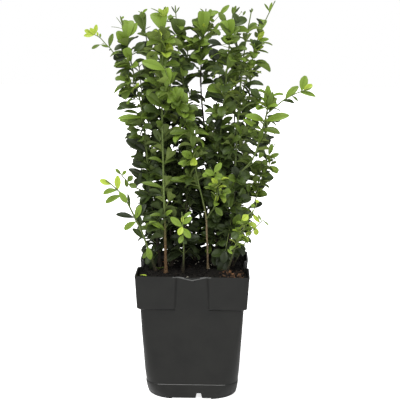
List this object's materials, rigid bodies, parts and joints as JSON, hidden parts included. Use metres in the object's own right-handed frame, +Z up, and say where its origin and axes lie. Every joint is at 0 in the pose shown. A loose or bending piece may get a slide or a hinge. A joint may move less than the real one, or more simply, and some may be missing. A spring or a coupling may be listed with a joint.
{
  "type": "potted boxwood",
  "caption": "Young boxwood with upright leafy shoots and side sprays, growing in compost in a square black nursery pot.",
  "frame": {"origin": "middle of the pot's foot, at the height of the surface it stands on", "axes": "+Z up; +X to the right along the pot's front face; +Y from the front face to the back"},
  "size_m": [0.303, 0.1713, 0.529],
  "materials": {
    "pot": "satin charcoal moulded plastic",
    "soil": "rough dark compost",
    "stem": "matt tan-brown bark",
    "twig": "smooth green young bark",
    "leaves_deep": "glossy dark green leaves",
    "leaves_fresh": "soft yellow-green young leaves"
  },
  "bodies": {
    "root": {"bough_front_fork": "twig", "bough_right_middle": "twig", "bough_right_outer": "twig", "bough_right_spray": "twig", "bough_slender": "stem", "bough_small_left_spray": "twig", "bough_upper_left_spray": "twig", "foliage_back_left": "leaves_deep", "foliage_back_middle": "leaves_deep", "foliage_back_right": "leaves_deep", "foliage_front_fork": "leaves_fresh", "foliage_front_left": "leaves_deep", "foliage_front_middle": "leaves_deep", "foliage_left": "leaves_deep", "foliage_left_inner": "leaves_deep", "foliage_left_rear": "leaves_deep", "foliage_low_front": "leaves_fresh", "foliage_low_left": "leaves_fresh", "foliage_low_right": "leaves_fresh", "foliage_low_right_front": "leaves_fresh", "foliage_middle": "leaves_deep", "foliage_right": "leaves_deep", "foliage_right_inner": "leaves_deep", "foliage_right_low_spray": "leaves_fresh", "foliage_right_middle": "leaves_fresh", "foliage_right_outer": "leaves_fresh", "foliage_right_rear": "leaves_deep", "foliage_right_spray": "leaves_fresh", "foliage_right_spray_base": "leaves_fresh", "foliage_slender_lower": "leaves_deep", "foliage_slender_upper": "leaves_deep", "foliage_small_left_spray": "leaves_fresh", "foliage_upper_left_spray": "leaves_fresh", "pot": "pot", "soil": "soil", "stem_back_left": "stem", "stem_back_middle": "stem", "stem_back_right": "stem", "stem_front_left": "stem", "stem_front_middle": "stem", "stem_left": "stem", "stem_left_inner": "stem", "stem_left_rear": "stem", "stem_low_front": "stem", "stem_low_left": "twig", "stem_low_right": "twig", "stem_low_right_front": "stem", "stem_middle": "stem", "stem_right": "stem", "stem_right_inner": "stem", "stem_right_rear": "stem", "stem_slender": "stem"}
  },
  "joints": []
}
